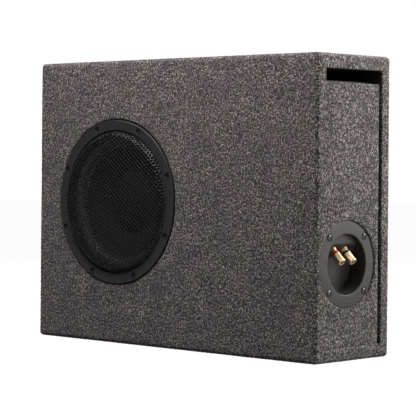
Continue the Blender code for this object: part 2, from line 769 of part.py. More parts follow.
def main():
    for obj in list(bpy.data.objects):
        bpy.data.objects.remove(obj)
    into_box = Matrix.Rotation(math.radians(-90), 4, "X")
    out_of_end = Matrix.Rotation(math.radians(90), 4, "Y")
    woofer = empty("woofer_axis", (WOOFER_X, -DEPTH / 2 + SKIN, WOOFER_Z), into_box)
    cup = empty("cup_axis", (WIDTH / 2 - CUP_INSET, CUP_Y, CUP_Z), out_of_end)

    boards(woofer, cup)
    carpets(woofer, cup)

    gasket(woofer)
    basket(woofer)
    surround(woofer)
    cone(woofer)
    dust_cap(woofer)
    spider(woofer)
    motor(woofer)
    driver_leads(woofer)
    trim_and_grille(woofer)
    long_screw = screw_mesh("woofer_screw", SCREW_HEAD_R, 1.3, SCREW_SHANK_R, 16)
    seat = COUNTERBORE_FLOOR - GAP
    screws(woofer, "woofer_screw", long_screw, SCREW_CIRCLE_R, SCREW_COUNT, FIRST_SCREW_DEG, seat)

    terminal_cup(cup)
    short_screw = screw_mesh("cup_screw", CUP_SCREW_HEAD_R, 1.6, SCREW_SHANK_R, 13)
    screws(cup, "cup_screw", short_screw, CUP_SCREW_R, 4, 45, GAP, flip=True)
    for colour, side in (("red", -1), ("black", 1)):
        binding_post(cup, colour, side)
        spade(woofer, colour, side)
    inner_wires()


main()
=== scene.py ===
"""Looks for the slim vented car subwoofer: carpet, grille, trim, terminal cup and inner finishes.

Outlines and radii are in millimetres, and a length that carries MM is in metres. Places are read
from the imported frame.
"""

import math

import bmesh
import bpy
from mathutils import Matrix, Vector, noise


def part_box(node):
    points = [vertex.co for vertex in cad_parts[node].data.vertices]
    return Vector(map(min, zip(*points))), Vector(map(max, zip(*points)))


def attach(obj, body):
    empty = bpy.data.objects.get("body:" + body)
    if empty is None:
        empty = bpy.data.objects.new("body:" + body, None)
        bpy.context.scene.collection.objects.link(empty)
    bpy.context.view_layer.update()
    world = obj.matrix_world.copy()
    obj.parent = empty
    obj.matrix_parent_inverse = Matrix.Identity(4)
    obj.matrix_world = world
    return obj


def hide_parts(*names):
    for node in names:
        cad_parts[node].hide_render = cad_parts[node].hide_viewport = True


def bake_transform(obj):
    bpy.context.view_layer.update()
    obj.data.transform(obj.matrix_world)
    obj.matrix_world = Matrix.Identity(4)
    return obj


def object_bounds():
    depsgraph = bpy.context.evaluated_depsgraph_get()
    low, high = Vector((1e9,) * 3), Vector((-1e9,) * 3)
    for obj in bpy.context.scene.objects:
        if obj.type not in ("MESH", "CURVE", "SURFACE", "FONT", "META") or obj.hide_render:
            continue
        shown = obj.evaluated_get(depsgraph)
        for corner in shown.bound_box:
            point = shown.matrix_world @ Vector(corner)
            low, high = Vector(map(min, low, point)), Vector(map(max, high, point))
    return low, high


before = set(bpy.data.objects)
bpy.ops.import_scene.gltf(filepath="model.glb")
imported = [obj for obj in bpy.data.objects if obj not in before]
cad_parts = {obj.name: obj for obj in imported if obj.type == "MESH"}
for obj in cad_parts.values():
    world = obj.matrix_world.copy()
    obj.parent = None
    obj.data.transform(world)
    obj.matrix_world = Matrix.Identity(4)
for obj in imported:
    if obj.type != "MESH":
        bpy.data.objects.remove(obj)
CAD_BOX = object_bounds()

MM = 0.001
BODY = "enclosure"


# --- Places read from the frame -------------------------------------------------------------------


def size_and_middle(node):
    low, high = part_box(node)
    return high - low, (low + high) / 2


def frame_at(origin, out, up):
    """A 4x4 frame whose +Z points out and whose +Y points up."""
    z = Vector(out).normalized()
    y = (Vector(up) - z * z.dot(Vector(up))).normalized()
    x = y.cross(z)
    turn = Matrix((x, y, z)).transposed().to_4x4()
    return Matrix.Translation(origin) @ turn


BOX_LOW = Vector((*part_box("carpet_wrap")[0][:2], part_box("carpet_bottom")[0].z))
BOX_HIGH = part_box("carpet_wrap")[1]
RING_SIZE, RING_MIDDLE = size_and_middle("trim_ring")
RING_R = RING_SIZE.x / 2
BAFFLE_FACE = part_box("front_baffle")[0].y
WOOFER = frame_at((RING_MIDDLE.x, BAFFLE_FACE, RING_MIDDLE.z), (0, -1, 0), (0, 0, 1))
CUP_SIZE, CUP_MIDDLE = size_and_middle("terminal_cup")
CUP_R = CUP_SIZE.y / 2
CUP_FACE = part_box("terminal_cup")[1].x
CUP = frame_at((CUP_FACE, CUP_MIDDLE.y, CUP_MIDDLE.z), (1, 0, 0), (0, 0, 1))
SLOT_LOW_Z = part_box("carpet_right_end")[1].z
SLOT_HIGH_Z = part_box("top_panel")[0].z
SLOT_FRONT, SLOT_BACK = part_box("front_baffle")[1].y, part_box("back_panel")[0].y
GROOVE_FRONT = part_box("carpet_right_end")[1].y
GROOVE_LOW_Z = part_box("carpet_right_end")[0].z
SLOT_CUT_BACK = 2.6 * MM  # carpet trimmed short of the slot's lower edge, which is painted black as painted shade


# --- Materials ------------------------------------------------------------------------------------


class Paint:
    """A Principled material with the few node calls that the finishes below share."""

    def __init__(self, name, colour, roughness, metallic=0.0, **extra):
        self.material = bpy.data.materials.new(name)
        self.material.use_nodes = True
        self.tree = self.material.node_tree
        self.shader = self.tree.nodes["Principled BSDF"]
        self.set(self.shader, "Base Color", (*colour, 1))
        self.set(self.shader, "Roughness", roughness)
        self.set(self.shader, "Metallic", metallic)
        for socket, value in extra.items():
            self.set(self.shader, socket.replace("_", " "), value)
        self.where = self.node("ShaderNodeTexCoord").outputs["Object"]

    def set(self, node, socket, value):
        node.inputs[socket].default_value = value

    def node(self, kind, **inputs):
        made = self.tree.nodes.new(kind)
        for socket, value in inputs.items():
            self.feed(made.inputs[socket.replace("_", " ")], value)
        return made

    def feed(self, socket, value):
        if isinstance(value, bpy.types.NodeSocket):
            self.tree.links.new(value, socket)
        else:
            socket.default_value = value

    def noise(self, grain_mm, detail=2.0, roughness=0.5, stretch=None):
        """Noise whose lumps are about grain_mm across."""
        where = self.where
        if stretch:
            mapping = self.node("ShaderNodeMapping", Vector=where, Scale=stretch)
            where = mapping.outputs["Vector"]
        made = self.node("ShaderNodeTexNoise", Vector=where, Scale=1 / (grain_mm * MM))
        made.inputs["Detail"].default_value = detail
        made.inputs["Roughness"].default_value = roughness
        return made.outputs["Fac"]

    def ramp(self, factor, *stops):
        """Colour ramp through (position, colour) stops."""
        made = self.node("ShaderNodeValToRGB", Fac=factor)
        steps = made.color_ramp.elements
        while len(steps) < len(stops):
            steps.new(0.5)
        for step, (position, colour) in zip(steps, stops):
            step.position = position
            step.color = (*colour, 1)
        return made.outputs["Color"]

    def math(self, operation, a, b=0.0):
        made = self.tree.nodes.new("ShaderNodeMath")
        made.operation = operation
        self.feed(made.inputs[0], a)
        self.feed(made.inputs[1], b)
        return made.outputs["Value"]

    def mix(self, factor, a, b, blend="MIX"):
        made = self.tree.nodes.new("ShaderNodeMix")
        made.data_type = "RGBA"
        made.blend_type = blend
        self.feed(made.inputs["Factor"], factor)
        self.feed(made.inputs[6], a)
        self.feed(made.inputs[7], b)
        return made.outputs[2]

    def span(self, factor, low, high):
        """The factor's 0 to 1 stretched to low to high."""
        made = self.node("ShaderNodeMapRange", Value=factor)
        made.inputs["To Min"].default_value = low
        made.inputs["To Max"].default_value = high
        return made.outputs["Result"]

    def colour(self, value):
        self.feed(self.shader.inputs["Base Color"], value)

    def rough(self, factor, low, high):
        self.feed(self.shader.inputs["Roughness"], self.span(factor, low, high))

    def bump(self, height, strength, distance_mm):
        made = self.node("ShaderNodeBump", Height=height)
        made.inputs["Strength"].default_value = strength
        made.inputs["Distance"].default_value = distance_mm * MM
        self.feed(self.shader.inputs["Normal"], made.outputs["Normal"])


def grey(level, tint=(1.0, 1.0, 1.0)):
    return tuple(level * t for t in tint)


def carpet_paint():
    """Needle-punched felt of dark, mid and pale fibres, with drifts of warm and cool grey and broad
    lighter and darker clouds.
    """
    p = Paint("carpet_felt", grey(0.09), 0.95, Sheen_Weight=0.15, Specular_IOR_Level=0.2)
    tuft = p.noise(2.3, detail=3.0, roughness=0.75)
    fleck = p.noise(0.95, detail=2.0, roughness=0.8)
    mixed = p.math("ADD", p.math("MULTIPLY", tuft, 0.55), p.math("MULTIPLY", fleck, 0.45))
    shade = p.ramp(
        mixed,
        (0.395, grey(0.002)),
        (0.475, grey(0.026)),
        (0.53, grey(0.094)),
        (0.61, grey(0.60)),
    )
    drift = p.ramp(
        p.noise(4.5, detail=1.0),
        (0.35, (1.10, 0.90, 0.97)),
        (0.5, (1.06, 0.945, 0.90)),
        (0.65, (1.02, 0.985, 0.84)),
    )
    clouds = p.ramp(
        p.noise(34.0, detail=2.0),
        (0.36, (0.85, 0.83, 0.87)),
        (0.5, (1.0, 1.0, 1.0)),
        (0.64, (1.13, 1.13, 1.10)),
    )
    tinted = p.mix(1.0, shade, drift, "MULTIPLY")
    p.colour(p.mix(1.0, tinted, clouds, "MULTIPLY"))
    p.bump(p.math("ADD", tuft, fleck), 0.8, 0.9)
    return p.material


def mdf_paint():
    """Raw fibreboard, black where the port, the shadow groove and the ring's edge show it: painted
    shade in the groove and round the ring, and partly black paint, partly painted shade in the port.
    """
    p = Paint("mdf_board", (0.42, 0.30, 0.19), 0.85, Specular_IOR_Level=0.25)
    fibres = p.noise(1.6, detail=4.0, roughness=0.7)
    clouds = p.noise(22.0, detail=2.0)
    raw = p.mix(
        clouds,
        p.ramp(fibres, (0.3, (0.25, 0.165, 0.095)), (0.7, (0.47, 0.345, 0.225))),
        p.ramp(fibres, (0.3, (0.30, 0.20, 0.12)), (0.7, (0.52, 0.39, 0.26))),
    )
    place = p.node("ShaderNodeSeparateXYZ", Vector=p.where).outputs
    edge = 0.4 * MM

    def between(value, low, high):
        above, below = p.math("GREATER_THAN", value, low), p.math("LESS_THAN", value, high)
        return p.math("MULTIPLY", above, below)

    port_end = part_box("port_shelf")[0].x
    past_port, groove_shade_reach, seat_shade_reach = 12 * MM, 10 * MM, 4 * MM
    port = p.math(
        "MULTIPLY",
        p.math("GREATER_THAN", place["X"], port_end - past_port),
        between(place["Z"], SLOT_LOW_Z - SLOT_CUT_BACK - edge, SLOT_HIGH_Z + edge),
    )
    groove = p.math(
        "MULTIPLY",
        p.math("GREATER_THAN", place["X"], BOX_HIGH.x - groove_shade_reach),
        between(place["Y"], GROOVE_FRONT - edge, SLOT_BACK + edge),
    )
    from_axis = p.node("ShaderNodeVectorMath", Vector=p.where)
    from_axis.operation = "DISTANCE"
    from_axis.inputs[1].default_value = (RING_MIDDLE.x, BAFFLE_FACE, RING_MIDDLE.z)
    seat = p.math("LESS_THAN", from_axis.outputs["Value"], RING_R + seat_shade_reach)
    # Black over the port, the groove and the ring's seat: painted shade, and in the port also the
    # port's own black paint.
    black_paint_and_shade = p.math("MAXIMUM", p.math("MAXIMUM", port, groove), seat)
    p.colour(p.mix(black_paint_and_shade, raw, (*grey(0.05), 1)))
    p.bump(fibres, 0.25, 0.25)
    return p.material


def plastic_paint(name, colour, roughness, grain_mm=0.5, depth=0.25):
    """Moulded plastic with a fine spark-eroded texture and slight variation in gloss."""
    p = Paint(name, colour, roughness, Specular_IOR_Level=0.5)
    p.colour(p.mix(p.noise(18, detail=3), (*grey(0.92, colour), 1), (*grey(1.08, colour), 1)))
    p.rough(p.noise(6, detail=4), roughness - 0.05, roughness + 0.06)
    p.bump(p.noise(grain_mm, detail=2), depth, 0.06)
    return p.material


def coat_paint(name, colour, roughness, metallic=0.0, gloss=0.5):
    """Powder coat or oxide: fine orange peel."""
    p = Paint(name, colour, roughness, metallic, Specular_IOR_Level=gloss)
    p.rough(p.noise(4, detail=3), roughness - 0.04, roughness + 0.05)
    p.bump(p.noise(0.7, detail=1), 0.3, 0.05)
    return p.material


def metal_paint(name, colour, roughness, stretch=None, depth=0.1):
    """Bare or plated metal with fine marks."""
    p = Paint(name, colour, roughness, 1.0)
    marks = p.noise(0.8, detail=4, stretch=stretch)
    p.colour(p.mix(p.noise(7, detail=2), (*grey(0.9, colour), 1), (*colour, 1)))
    p.rough(marks, roughness - 0.05, roughness + 0.1)
    p.bump(marks, depth, 0.03)
    return p.material


def cloth_paint():
    """Woven spider cloth, stiff with resin."""
    p = Paint("spider_weave", (0.5, 0.36, 0.13), 0.85)
    waves = []
    for axis in ("X", "Z"):
        wave = p.node("ShaderNodeTexWave", Vector=p.where, Scale=1 / (9 * MM))
        wave.bands_direction = axis
        waves.append(wave.outputs["Fac"])
    weave = p.math("MAXIMUM", *waves)
    p.colour(p.mix(weave, (0.30, 0.20, 0.06, 1), (0.62, 0.46, 0.18, 1)))
    p.bump(weave, 0.5, 0.2)
    return p.material


def paper_paint():
    """Black pulp with faint fibres."""
    p = Paint("pulp_paper", grey(0.02), 0.75, Specular_IOR_Level=0.35)
    fibres = p.noise(1.8, detail=5, roughness=0.75)
    p.colour(p.ramp(fibres, (0.35, grey(0.006)), (0.7, grey(0.016))))
    p.bump(fibres, 0.35, 0.2)
    return p.material


def ferrite_paint():
    p = Paint("fired_ferrite", grey(0.06), 0.55)
    grains = p.noise(2.2, detail=5, roughness=0.7)
    p.colour(p.ramp(grains, (0.35, grey(0.035)), (0.7, grey(0.085))))
    p.bump(grains, 0.3, 0.15)
    return p.material


# --- Mesh tools -----------------------------------------------------------------------------------


def finish_piece(obj, material, body=BODY, stands_for=()):
    obj.data.materials.clear()
    obj.data.materials.append(material)
    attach(obj, body)
    if stands_for:
        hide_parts(*stands_for)
    return obj


def new_object(name, points, faces, smooth_deg=40):
    mesh = bpy.data.meshes.new(name)
    mesh.from_pydata(points, [], faces)
    mesh.update()
    obj = bpy.data.objects.new(name, mesh)
    bpy.context.scene.collection.objects.link(obj)
    tidy_normals(obj, smooth_deg)
    return obj


def tidy_normals(obj, smooth_deg):
    """Turns the faces outwards and smooths all but the sharp edges."""
    work = bmesh.new()
    work.from_mesh(obj.data)
    bmesh.ops.recalc_face_normals(work, faces=work.faces)
    work.to_mesh(obj.data)
    work.free()
    obj.data.shade_smooth()
    obj.data.set_sharp_from_angle(angle=math.radians(smooth_deg))


def softened(corners, steps=4):
    """An outline through (x, y, radius) corners. Each corner is eased over its radius."""
    out, under_half = [], 0.49  # of a side, so that neighbouring corners don't meet
    for k, (x, y, reach) in enumerate(corners):
        here = Vector((x, y))
        if not reach:
            out.append((x, y))
            continue
        before = Vector(corners[k - 1][:2]) - here
        after = Vector(corners[(k + 1) % len(corners)][:2]) - here
        a = here + before.normalized() * min(reach, before.length * under_half)
        b = here + after.normalized() * min(reach, after.length * under_half)
        for n in range(steps + 1):
            t = n / steps
            out.append(tuple(a * (1 - t) ** 2 + here * 2 * t * (1 - t) + b * t**2))
    return out


def turned(name, place, outline, steps=96, bend=None, smooth_deg=40):
    """A closed (radius, height) outline in millimetres, turned about the place's Z axis.

    bend may move a point: it takes and returns local x, y, z in millimetres.
    """
    points, rows = [], []
    for radius, height in outline:
        count = 1 if radius == 0 else steps
        rows.append([len(points) + (k % count) for k in range(steps)])
        for k in range(count):
            a = math.tau * k / steps
            spot = (radius * math.cos(a), radius * math.sin(a), height)
            points.append(place @ (Vector(bend(*spot) if bend else spot) * MM))
    faces = []
    for row, following in zip(rows, rows[1:] + rows[:1]):
        for k in range(steps):
            n = (k + 1) % steps
            ring = list(dict.fromkeys((row[k], row[n], following[n], following[k])))
            if len(ring) > 2:
                faces.append(ring)
    return new_object(name, points, faces, smooth_deg)


def prism(name, place, low, high, taper=1.0):
    """A box between two corners in millimetres. Its top, at the high Z, is taper times as wide."""
    points = []
    for z, share in ((low[2], 1.0), (high[2], taper)):
        for x, y in ((low[0], low[1]), (high[0], low[1]), (high[0], high[1]), (low[0], high[1])):
            points.append(place @ (Vector((x * share, y * share, z)) * MM))
    faces = [(0, 3, 2, 1), (4, 5, 6, 7), (0, 1, 5, 4), (1, 2, 6, 5), (2, 3, 7, 6), (3, 0, 4, 7)]
    return new_object(name, points, faces)


def carve(obj, cutters, smooth_deg=40):
    """Cuts each cutter's shape away and removes the cutters."""
    for cutter in cutters:
        change = obj.modifiers.new(cutter.name, "BOOLEAN")
        change.operation = "DIFFERENCE"
        change.object = cutter
    bpy.context.view_layer.update()
    graph = bpy.context.evaluated_depsgraph_get()
    result = bpy.data.meshes.new_from_object(obj.evaluated_get(graph))
    obj.modifiers.clear()
    obj.data = result
    for cutter in cutters:
        bpy.data.objects.remove(cutter)
    obj.data.shade_smooth()
    obj.data.set_sharp_from_angle(angle=math.radians(smooth_deg))
    return obj


def spun(place, angle, radius=0.0, height=0.0):
    """The place's frame moved out along its local angle, and turned with it."""
    turn = Matrix.Rotation(angle, 4, "Z")
    return place @ turn @ Matrix.Translation(Vector((radius, 0, height)) * MM)


# --- Carpet ---------------------------------------------------------------------------------------

CARPET_THICK = 2.9 * MM
CORNER = 4.8 * MM
GRID = 1.7 * MM
LIP = 1.5 * MM  # how far the carpet rolls over at the slot and the groove
SLOT_OVERHANG = 1.4 * MM  # carpet hanging over the slot's upper edge
GROOVE_OVERHANG = 0.6 * MM
CREASE_DEPTH, CREASE_REACH = 1.5 * MM, 2.2 * MM
RING_GAP = 0.7 * MM
CUP_GAP = 0.3 * MM


def stops(marks, step=GRID):
    """Coordinates from the first mark to the last, through each mark, at most a step apart."""
    out = []
    for a, b in zip(marks, marks[1:]):
        count = max(1, math.ceil((b - a) / step - 0.01))
        out += [a + (b - a) * k / count for k in range(count)]
    return [*out, marks[-1]]


def edge_marks(low, high, *inner):
    """Marks for one side of the box, close together where a corner or a lip bends."""
    marks = []
    for end, side in ((low, 1), (high, -1)):
        marks += [end + side * CORNER * k for k in (0, 0.33, 0.66, 1.0)]
    for mark, side in inner:
        marks += [mark + side * LIP * k for k in (0, 0.25, 0.6, 1.0)]
    return sorted(marks)


PILE_LIFT = 0.4
PILE_WAVES = (  # (length, height, shift): tufts, finer tufts and the slow waves of glued felt
    (2.4, 0.34, Vector((0, 0, 0))),
    (1.3, 0.22, Vector((7.1, 3.3, 5.7))),
    (55, 0.22, Vector((0, 0, 0))),
)


def pile(point):
    """Height of the pile at a point, in metres."""
    waves = sum(noise.noise(point / (long * MM) + shift) * high for long, high, shift in PILE_WAVES)
    return (waves + PILE_LIFT) * MM


def rounded_point(point):
    """A point of the sharp box moved to the rounded box, and its normal there."""
    core = Vector(
        min(max(c, low + CORNER), high - CORNER) for c, low, high in zip(point, BOX_LOW, BOX_HIGH)
    )
    normal = (point - core).normalized()
    return core + normal * CORNER, normal


class CarpetSide:
    """One face of the carpet as a thick pad: a fine pile outside and a flat back inside."""

    def __init__(self, name, axis, side, marks_u, marks_v, holes=(), round_holes=(), crease=None):
        self.name = name
        self.axis = axis
        self.plane = (BOX_HIGH if side > 0 else BOX_LOW)[axis]
        self.inward = -side
        self.u, self.v = [k for k in range(3) if k != axis]
        self.us, self.vs = stops(marks_u), stops(marks_v)
        self.holes = holes  # (low u, high u, low v, high v)
        self.round_holes = round_holes  # (centre u, centre v, radius)
        self.crease = crease  # (low u, high u, v) of a seam pressed into the pile

    def point(self, u, v, plane=None):
        spot = Vector((0, 0, 0))
        spot[self.axis] = self.plane if plane is None else plane
        spot[self.u], spot[self.v] = u, v
        return spot

    def lip_drop(self, u, v):
        """How far the carpet has rolled inwards beside a slot or groove."""
        away = 1.0
        for low_u, high_u, low_v, high_v in self.holes:
            du = max(low_u - u, 0, u - high_u)
            dv = max(low_v - v, 0, v - high_v)
            away = min(away, math.hypot(du, dv))
        for cu, cv, radius in self.round_holes:
            away = min(away, abs(math.hypot(u - cu, v - cv) - radius) * 2)  # half as wide a lip
        if away >= LIP:
            return 0.0
        return LIP - math.sqrt(LIP**2 - (LIP - away) ** 2)

    def crease_drop(self, u, v):
        if not self.crease:
            return 0.0
        low_u, high_u, line = self.crease
        away = math.hypot(max(low_u - u, 0, u - high_u), v - line)
        return CREASE_DEPTH * max(0.0, 1 - away / CREASE_REACH)

    def kept(self, u, v):
        """Whether a cell with this middle is carpet."""
        inside = any(a < u < b and c < v < d for a, b, c, d in self.holes)
        return not inside and all(
            math.hypot(u - cu, v - cv) > radius for cu, cv, radius in self.round_holes
        )

    def build(self):
        us, vs = self.us, self.vs
        work = bmesh.new()
        flat = work.verts.layers.float_vector.new("flat")
        grid = {}

        def vertex(i, j):
            if (i, j) not in grid:
                made = work.verts.new(self.point(us[i], vs[j]))
                made[flat] = Vector((us[i], vs[j], 0))
                grid[i, j] = made
            return grid[i, j]

        for i in range(len(us) - 1):
            for j in range(len(vs) - 1):
                if self.kept((us[i] + us[i + 1]) / 2, (vs[j] + vs[j + 1]) / 2):
                    corners = (vertex(i, j), vertex(i + 1, j), vertex(i + 1, j + 1), vertex(i, j + 1))
                    work.faces.new(corners)
        rim = [e for e in work.edges if e.is_boundary]
        for v in {v for e in rim for v in e.verts}:
            self.snap(v, flat)
        for v in work.verts:
            spot, normal = rounded_point(self.point(v[flat].x, v[flat].y))
            drop = self.lip_drop(v[flat].x, v[flat].y) + self.crease_drop(v[flat].x, v[flat].y)
            spot[self.axis] += self.inward * drop
            v.co = spot + normal * pile(spot)
        for face in work.faces:
            face.smooth = True
        self.close(work, rim, flat)
        bmesh.ops.recalc_face_normals(work, faces=work.faces)
        mesh = bpy.data.meshes.new(self.name)
        work.to_mesh(mesh)
        work.free()
        obj = bpy.data.objects.new(self.name, mesh)
        bpy.context.scene.collection.objects.link(obj)
        return obj

    def snap(self, v, flat):
        """Puts a rim vertex near a round hole onto its circle."""
        u, w = v[flat].x, v[flat].y
        for cu, cv, radius in self.round_holes:
            away = math.hypot(u - cu, w - cv)
            if abs(away - radius) < GRID * 1.5:
                v[flat] = Vector((cu + (u - cu) * radius / away, cv + (w - cv) * radius / away, 0))

    def close(self, work, rim, flat):
        """Joins the rim to a flat back, and fills the back."""
        thick = CARPET_THICK
        back_plane = self.plane + self.inward * thick
        twins = {}
        for v in {v for e in rim for v in e.verts}:
            inner = self.point(
                min(max(v[flat].x, BOX_LOW[self.u] + thick), BOX_HIGH[self.u] - thick),
                min(max(v[flat].y, BOX_LOW[self.v] + thick), BOX_HIGH[self.v] - thick),
                back_plane,
            )
            twins[v] = work.verts.new(inner)
        back_edges = []
        for e in rim:
            a, b = e.verts
            face = work.faces.new((a, b, twins[b], twins[a]))
            back_edges += [k for k in face.edges if set(k.verts) == {twins[a], twins[b]}]
        axis = Vector((0, 0, 0))
        axis[self.axis] = -self.inward
        filled = bmesh.ops.triangle_fill(work, use_beauty=True, edges=back_edges, normal=axis)
        over_holes = []
        for face in (f for f in filled["geom"] if isinstance(f, bmesh.types.BMFace)):
            middle = face.calc_center_median()
            if not self.kept(middle[self.u], middle[self.v]):
                over_holes.append(face)
        bmesh.ops.delete(work, geom=over_holes, context="FACES_ONLY")


def carpets():
    felt = carpet_paint()
    low, high = BOX_LOW, BOX_HIGH
    x_marks = edge_marks(low.x, high.x)
    woofer_hole = (RING_MIDDLE.x, RING_MIDDLE.z, RING_R + RING_GAP)
    cup_hole = (CUP_MIDDLE.y, CUP_MIDDLE.z, CUP_R + CUP_GAP)
    slot_low, slot_high = SLOT_LOW_Z - SLOT_CUT_BACK, SLOT_HIGH_Z - SLOT_OVERHANG
    groove_front, groove_back = GROOVE_FRONT + GROOVE_OVERHANG, SLOT_BACK - GROOVE_OVERHANG
    slot = (SLOT_FRONT, groove_back, slot_low, slot_high)
    groove = (groove_front, groove_back, GROOVE_LOW_Z, slot_low)
    crease = (SLOT_FRONT, groove_front, GROOVE_LOW_Z)
    end_y = edge_marks(low.y, high.y, (SLOT_FRONT, -1), (groove_front, -1), (groove_back, 1))
    end_z = edge_marks(low.z, high.z, (GROOVE_LOW_Z, -1), (slot_low, -1), (slot_high, 1))
    sides = [
        (CarpetSide("carpet_front", 1, -1, x_marks, end_z, [], [woofer_hole]), ["carpet_wrap"]),
        (CarpetSide("carpet_back", 1, 1, x_marks, end_z), []),
        (CarpetSide("carpet_top", 2, 1, x_marks, end_y), []),
        (CarpetSide("carpet_underside", 2, -1, x_marks, end_y), ["carpet_bottom"]),
        (CarpetSide("carpet_left", 0, -1, end_y, end_z), ["carpet_left_end"]),
        (
            CarpetSide("carpet_right", 0, 1, end_y, end_z, [slot, groove], [cup_hole], crease),
            ["carpet_right_end"],
        ),
    ]
    for side, stands_for in sides:
        finish_piece(side.build(), felt, stands_for=stands_for)


# --- Driver's visible parts -----------------------------------------------------------------------

FIRST_SCREW, SCREWS, SCREW_CIRCLE = math.radians(20.5), 8, 99.0
RING_TOP, RING_BACK, RING_INNER_R = 5.2, 2.8, 92.0
RING_SEAT_FLOOR = 3.5  # under each screw head


def ring_screw_places(height):
    """A frame for each of the ring's screws, with X pointing away from the ring's middle."""
    angles = (FIRST_SCREW + math.tau * k / SCREWS for k in range(SCREWS))
    return [spun(WOOFER, angle, SCREW_CIRCLE, height) for angle in angles]


def trim_ring():
    outer = RING_R / MM
    rebate, rebate_floor = 94.6, 4.0
    outline = softened(
        [
            (RING_INNER_R, rebate_floor, 0),
            (RING_INNER_R, RING_TOP, 0.6),
            (outer, RING_TOP, 0.7),
            (outer, RING_BACK, 0),
            (rebate, RING_BACK, 0),
            (rebate, rebate_floor, 0),
        ],
        steps=5,
    )
    ring = turned("trim_ring_moulding", WOOFER, outline, steps=192)
    seat_r, bevel_r, hole_r, clear = 4.1, 4.3, 2.2, RING_TOP + 1.8
    seat = [(0, RING_SEAT_FLOOR), (seat_r, RING_SEAT_FLOOR), (seat_r, RING_TOP - 0.2)]
    seat += [(bevel_r, RING_TOP + 0.2), (bevel_r, clear), (0, clear)]
    hole = [(0, 0), (hole_r, 0), (hole_r, RING_TOP + 0.8), (0, RING_TOP + 0.8)]
    cutters = []
    for place in ring_screw_places(0):
        cutters.append(turned("seat", place, seat, steps=32))
        cutters.append(turned("hole", place, hole, steps=24))
    carve(ring, cutters)
    plastic = plastic_paint("trim_plastic_satin", grey(0.018), 0.42)
    finish_piece(ring, plastic, stands_for=["trim_ring"])


def screw_blank(name, head_r, head_high, shank_r, length):
    """Pan-head screw with a tapered cross recess. z 0 is under its head; its shank points to -Z."""
    here = Matrix.Identity(4)
    outline = softened(
        [
            (0, head_high, 0),
            (head_r * 0.62, head_high, head_r * 0.3),
            (head_r, head_high * 0.35, head_high * 0.4),
            (head_r, 0, 0.1),
            (shank_r, 0, 0),
            (shank_r, 3 - length, 0),
            (0, -length, 0),
        ],
        steps=4,
    )
    blank = turned(name, here, outline, steps=36)
    half, reach, floor = head_r * 0.09, head_r * 0.26, head_high * 0.2
    cutters = []
    for x, y in ((reach, half), (half, reach)):
        cutters.append(prism("slot", here, (-x, -y, floor), (x, y, head_high + 0.3), taper=2.0))
    carve(blank, cutters)
    mesh = blank.data
    bpy.data.objects.remove(blank)
    return mesh


def screw_copies(prefix, mesh, material, places, node_prefix, turn_step):
    """A screw at each place, each turned a step further, standing for the nearest CAD screw."""
    mesh.materials.append(material)
    names = [f"{node_prefix}_{number + 1}" for number in range(len(places))]
    for number, place in enumerate(places):
        screw = bpy.data.objects.new(f"{prefix}_{number + 1}", mesh)
        bpy.context.scene.collection.objects.link(screw)
        screw.matrix_world = place @ Matrix.Rotation(turn_step * number, 4, "Z")
        node = min(names, key=lambda name: (size_and_middle(name)[1] - place.translation).length)
        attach(screw, BODY)
        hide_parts(node)


def woofer_screws(material):
    mesh = screw_blank("ring_screw", head_r=3.4, head_high=1.1, shank_r=1.8, length=16)
    places = ring_screw_places(RING_SEAT_FLOOR + 0.05)
    screw_copies("ring_screw", mesh, material, places, "woofer_screw", turn_step=1.3)


def ring_sector(name, outline, number, count, steps=6):
    """One closed sector of an outline turned about the woofer's axis."""
    points, faces, size = [], [], len(outline)
    for k in range(steps + 1):
        a = math.tau * (number + k / steps) / count
        for radius, height in outline:
            spot = Vector((radius * math.cos(a), radius * math.sin(a), height))
            points.append(WOOFER @ (spot * MM))
    for k in range(steps):
        for n in range(size):
            here, beside = k * size + n, k * size + (n + 1) % size
            faces.append((here, beside, beside + size, here + size))
    faces += [tuple(range(size)), tuple(steps * size + n for n in reversed(range(size)))]
    return new_object(name, points, faces)


def soft_ring(prefix, outline, count, material, node):
    """A ring that stretches from the basket to the cone, made of sectors."""
    for number in range(count):
        piece = ring_sector(f"{prefix}_{number + 1}", outline, number, count)
        piece.data.materials.append(material)
        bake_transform(piece)
        if number == 0:
            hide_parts(node)


CONE_RIM_R, CONE_NECK_R, RIM_DEPTH, NECK_DEPTH, CAP_R = 75.0, 19.6, 13.6, 38.0, 40.0
ROLL_R, ROLL_MIDDLE_R, SEAT_DEPTH = 7.0, 82.0, 12.3


def cone_depth(radius):
    share = (CONE_RIM_R - radius) / (CONE_RIM_R - CONE_NECK_R)
    return RIM_DEPTH + (NECK_DEPTH - RIM_DEPTH) * share**0.9


def surround():
    """Half-roll of rubber, glued flat to the cone inside and to the basket outside."""
    half, turns = 0.5, 18

    def skin(offset):
        radius = ROLL_R + offset
        first = math.asin(offset / radius)
        angles = (first + (math.pi - 2 * first) * k / turns for k in range(turns + 1))
        arc = ((radius * math.cos(a), radius * math.sin(a)) for a in angles)
        return [(ROLL_MIDDLE_R - x, z - SEAT_DEPTH) for x, z in arc]

    glued_r, lip_r = CONE_RIM_R - 3.5, 89.8
    outline = [
        (glued_r, half - SEAT_DEPTH),
        *skin(half),
        (lip_r, half - SEAT_DEPTH),
        (lip_r, -half - SEAT_DEPTH),
        *reversed(skin(-half)),
        (glued_r, -half - SEAT_DEPTH),
    ]
    rubber = plastic_paint("surround_rubber_satin", grey(0.12), 0.45)
    soft_ring("surround_sector", outline, 20, rubber, "woofer_surround")


def spider():
    """Corrugated cloth disc behind the cone."""
    cloth, seat, inner, first, last, outer = 0.45, -45.3, 19.1, 20.6, 43.5, 50.4
    waves, wave_high, rows = 3, 1.5, 24
    top = [(inner, seat)]
    for k in range(rows + 1):
        share = k / rows
        rise = wave_high * (1 - math.cos(math.tau * waves * share)) / 2
        top.append((first + (last - first) * share, seat + rise))
    top.append((outer, seat))
    outline = top + [(r, z - cloth) for r, z in reversed(top)]
    soft_ring("spider_sector", outline, 12, cloth_paint(), "woofer_spider")


